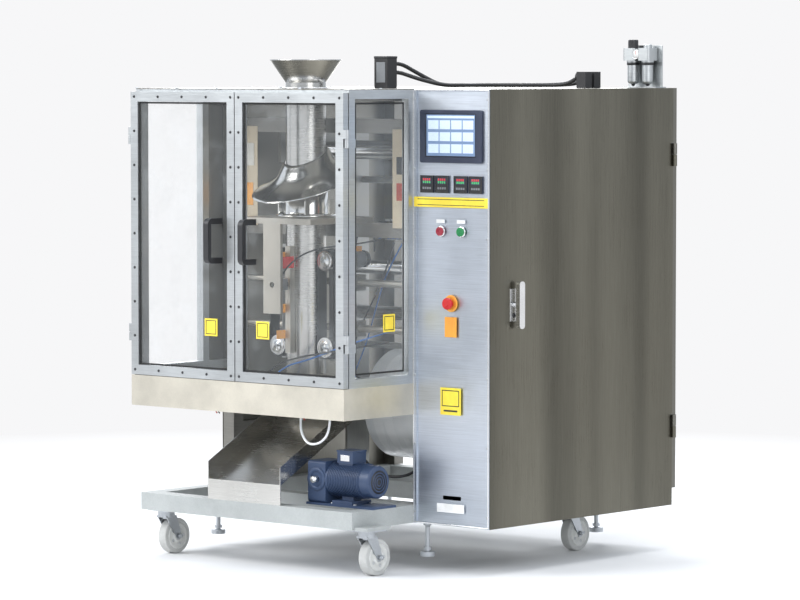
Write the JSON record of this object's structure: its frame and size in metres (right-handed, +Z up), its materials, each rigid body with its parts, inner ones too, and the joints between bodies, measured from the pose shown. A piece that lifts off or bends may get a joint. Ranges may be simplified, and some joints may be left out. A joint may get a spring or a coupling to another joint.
{
  "type": "vertical form fill sealer",
  "caption": "Caster-mounted vertical form fill seal bagging machine with clear guard doors, forming tube, film belts, sealing jaws and an electrical cabinet.",
  "frame": {"origin": "on the floor under the centre of the machine's bounding box", "axes": "+Z up, front towards -Y, +X to the right of a person facing the front"},
  "size_m": [1.394, 1.45, 1.805],
  "materials": {
    "frame_paint": "satin grey powder coat",
    "stainless": "brushed",
    "panel_steel": "fine brushed",
    "bright_steel": "ground and polished",
    "bead_steel": "bead blasted",
    "alu": "satin anodised",
    "clear": "clear polycarbonate",
    "black_plastic": "moulded",
    "navy_plastic": "moulded",
    "red_plastic": "gloss",
    "green_plastic": "gloss",
    "film": "wound film",
    "rubber_black": "toothed belt",
    "wheel_rubber": "grey non-marking",
    "cable_black": "pvc",
    "hose_white": "polyurethane",
    "motor_paint": "dark blue",
    "electrics": "moulded housings",
    "zinc": "zinc plated"
  },
  "bodies": {
    "machine": {"base_frame": "frame_paint", "upright_frame": "frame_paint", "cabinet_shell": "stainless", "control_panel": "panel_steel", "panel_instruments": "navy_plastic", "electrical_rack": "electrics", "front_table": "bead_steel", "guard_frame": "alu", "guard_side_panes": "clear", "cover_panels": "stainless", "film_side_plates": "alu", "forming_tube": "stainless", "forming_collar": "bright_steel", "former_support": "bead_steel", "air_cylinders": "alu", "jaw_frame": "alu", "discharge_chute": "stainless", "drive_motor": "motor_paint", "air_unit": "alu", "top_cables": "cable_black", "air_hose": "hose_white", "caster_mounts": "zinc"},
    "guard_door_left": {"guard_door_left": "alu", "guard_pane_left": "clear", "guard_handle_left": "black_plastic"},
    "belt_carriage_left": {"belt_carriage_left": "alu", "film_belt_left": "rubber_black"},
    "belt_drive_pulley_left": {"belt_drive_pulley_left": "alu"},
    "belt_idler_pulley_left": {"belt_idler_pulley_left": "alu"},
    "guard_door_right": {"guard_door_right": "alu", "guard_pane_right": "clear", "guard_handle_right": "black_plastic"},
    "belt_carriage_right": {"belt_carriage_right": "alu", "film_belt_right": "rubber_black"},
    "belt_drive_pulley_right": {"belt_drive_pulley_right": "alu"},
    "belt_idler_pulley_right": {"belt_idler_pulley_right": "alu"},
    "film_unwind": {"film_roll": "film", "unwind_shaft": "bright_steel"},
    "cabinet_door": {"cabinet_door": "stainless"},
    "cabinet_door_handle": {"cabinet_door_handle": "alu"},
    "emergency_stop": {"emergency_stop": "red_plastic"},
    "stop_button": {"stop_button": "red_plastic"},
    "start_button": {"start_button": "green_plastic"},
    "regulator_knob": {"regulator_knob": "black_plastic"},
    "dancer_arm": {"dancer_arm": "alu"},
    "dancer_roller": {"dancer_roller": "bright_steel"},
    "lower_guide_roller": {"lower_guide_roller": "bright_steel"},
    "upper_guide_roller": {"upper_guide_roller": "bright_steel"},
    "infeed_guide_roller": {"infeed_guide_roller": "bright_steel"},
    "vertical_seal_bar": {"vertical_seal_bar": "bead_steel"},
    "front_jaw": {"front_jaw": "bead_steel"},
    "rear_jaw": {"rear_jaw": "bead_steel"},
    "knife": {"knife": "bright_steel"},
    "wheel_front_left": {"wheel_front_left": "wheel_rubber"},
    "wheel_front_right": {"wheel_front_right": "wheel_rubber"},
    "wheel_rear_left": {"wheel_rear_left": "wheel_rubber"},
    "wheel_rear_right": {"wheel_rear_right": "wheel_rubber"},
    "caster_fork_front_left": {"caster_fork_front_left": "zinc"},
    "caster_fork_front_right": {"caster_fork_front_right": "zinc"},
    "levelling_feet": {"levelling_feet": "zinc"}
  },
  "joints": [
    {"name": "guard_door_left_swing", "type": "hinge", "parent": "machine", "child": "guard_door_left", "pos_m": [-0.673, -0.657, 1.13], "axis": [0, 0, -1], "range_deg": [0, 110]},
    {"name": "guard_door_right_swing", "type": "hinge", "parent": "machine", "child": "guard_door_right", "pos_m": [0.338, -0.657, 1.13], "axis": [0, 0, 1], "range_deg": [0, 110]},
    {"name": "cabinet_door_swing", "type": "hinge", "parent": "machine", "child": "cabinet_door", "pos_m": [0.671, 0.705, 0.9], "axis": [0, 0, 1], "range_deg": [0, 110]},
    {"name": "cabinet_handle_turn", "type": "hinge", "parent": "cabinet_door", "child": "cabinet_door_handle", "pos_m": [0.665, -0.175, 0.91], "axis": [1, 0, 0], "range_deg": [0, 90]},
    {"name": "emergency_stop_push", "type": "slide", "parent": "machine", "child": "emergency_stop", "axis": [0, 1, 0], "range_m": [0, 0.006]},
    {"name": "stop_button_push", "type": "slide", "parent": "machine", "child": "stop_button", "axis": [0, 1, 0], "range_m": [0, 0.003], "stiffness_N_per_m": 300},
    {"name": "start_button_push", "type": "slide", "parent": "machine", "child": "start_button", "axis": [0, 1, 0], "range_m": [0, 0.003], "stiffness_N_per_m": 300},
    {"name": "regulator_turn", "type": "hinge", "parent": "machine", "child": "regulator_knob", "pos_m": [0.523, 0.655, 1.79], "axis": [0, 0, 1], "range_deg": [-180, 180]},
    {"name": "film_unwind_spin", "type": "hinge", "parent": "machine", "child": "film_unwind", "pos_m": [-0.1675, 0.47, 0.48], "axis": [1, 0, 0], "continuous": true},
    {"name": "lower_guide_roller_spin", "type": "hinge", "parent": "machine", "child": "lower_guide_roller", "pos_m": [-0.1675, 0.3, 0.82], "axis": [1, 0, 0], "continuous": true},
    {"name": "upper_guide_roller_spin", "type": "hinge", "parent": "machine", "child": "upper_guide_roller", "pos_m": [-0.1675, 0.22, 1.42], "axis": [1, 0, 0], "continuous": true},
    {"name": "infeed_guide_roller_spin", "type": "hinge", "parent": "machine", "child": "infeed_guide_roller", "pos_m": [-0.1675, -0.065, 1.42], "axis": [1, 0, 0], "continuous": true},
    {"name": "dancer_swing", "type": "hinge", "parent": "machine", "child": "dancer_arm", "pos_m": [-0.1675, 0.3, 1.12], "axis": [-1, 0, 0], "range_deg": [0, 30]},
    {"name": "dancer_roller_spin", "type": "hinge", "parent": "dancer_arm", "child": "dancer_roller", "pos_m": [-0.1675, 0.085, 1], "axis": [1, 0, 0], "continuous": true},
    {"name": "belt_carriage_left_open", "type": "slide", "parent": "machine", "child": "belt_carriage_left", "axis": [-1, 0, 0], "range_m": [0, 0.03]},
    {"name": "belt_carriage_right_open", "type": "slide", "parent": "machine", "child": "belt_carriage_right", "axis": [1, 0, 0], "range_m": [0, 0.03]},
    {"name": "belt_drive_left_spin", "type": "hinge", "parent": "belt_carriage_left", "child": "belt_drive_pulley_left", "pos_m": [-0.2785, -0.305, 1.04], "axis": [0, 1, 0], "continuous": true},
    {"name": "belt_idler_left_spin", "type": "hinge", "parent": "belt_carriage_left", "child": "belt_idler_pulley_left", "pos_m": [-0.2785, -0.305, 0.74], "axis": [0, 1, 0], "continuous": true},
    {"name": "belt_drive_right_spin", "type": "hinge", "parent": "belt_carriage_right", "child": "belt_drive_pulley_right", "pos_m": [-0.0565, -0.305, 1.04], "axis": [0, 1, 0], "continuous": true},
    {"name": "belt_idler_right_spin", "type": "hinge", "parent": "belt_carriage_right", "child": "belt_idler_pulley_right", "pos_m": [-0.0565, -0.305, 0.74], "axis": [0, 1, 0], "continuous": true},
    {"name": "vertical_seal_open", "type": "slide", "parent": "machine", "child": "vertical_seal_bar", "axis": [0, -1, 0], "range_m": [0, 0.019]},
    {"name": "front_jaw_close", "type": "slide", "parent": "machine", "child": "front_jaw", "axis": [0, 1, 0], "range_m": [0, 0.044]},
    {"name": "rear_jaw_close", "type": "slide", "parent": "machine", "child": "rear_jaw", "axis": [0, -1, 0], "range_m": [0, 0.044]},
    {"name": "knife_stroke", "type": "slide", "parent": "front_jaw", "child": "knife", "axis": [0, 1, 0], "range_m": [0, 0.009]},
    {"name": "caster_front_left_swivel", "type": "hinge", "parent": "machine", "child": "caster_fork_front_left", "pos_m": [-0.605, -0.555, 0.14], "axis": [0, 0, 1], "continuous": true},
    {"name": "wheel_front_left_spin", "type": "hinge", "parent": "caster_fork_front_left", "child": "wheel_front_left", "pos_m": [-0.605, -0.517, 0.0625], "axis": [1, 0, 0], "continuous": true},
    {"name": "caster_front_right_swivel", "type": "hinge", "parent": "machine", "child": "caster_fork_front_right", "pos_m": [0.335, -0.555, 0.14], "axis": [0, 0, 1], "continuous": true},
    {"name": "wheel_front_right_spin", "type": "hinge", "parent": "caster_fork_front_right", "child": "wheel_front_right", "pos_m": [0.335, -0.517, 0.0625], "axis": [1, 0, 0], "continuous": true},
    {"name": "wheel_rear_left_spin", "type": "hinge", "parent": "machine", "child": "wheel_rear_left", "pos_m": [-0.605, 0.468, 0.0625], "axis": [1, 0, 0], "continuous": true},
    {"name": "wheel_rear_right_spin", "type": "hinge", "parent": "machine", "child": "wheel_rear_right", "pos_m": [0.415, 0.468, 0.0625], "axis": [1, 0, 0], "continuous": true},
    {"name": "levelling_feet_extend", "type": "slide", "parent": "machine", "child": "levelling_feet", "axis": [0, 0, -1], "range_m": [0, 0.04]}
  ],
  "couplings": [
    {"joint": "belt_carriage_right_open", "follows": "belt_carriage_left_open", "ratio": 1},
    {"joint": "belt_idler_left_spin", "follows": "belt_drive_left_spin", "ratio": 1},
    {"joint": "belt_drive_right_spin", "follows": "belt_drive_left_spin", "ratio": -1},
    {"joint": "belt_idler_right_spin", "follows": "belt_drive_left_spin", "ratio": -1},
    {"joint": "rear_jaw_close", "follows": "front_jaw_close", "ratio": 1}
  ]
}
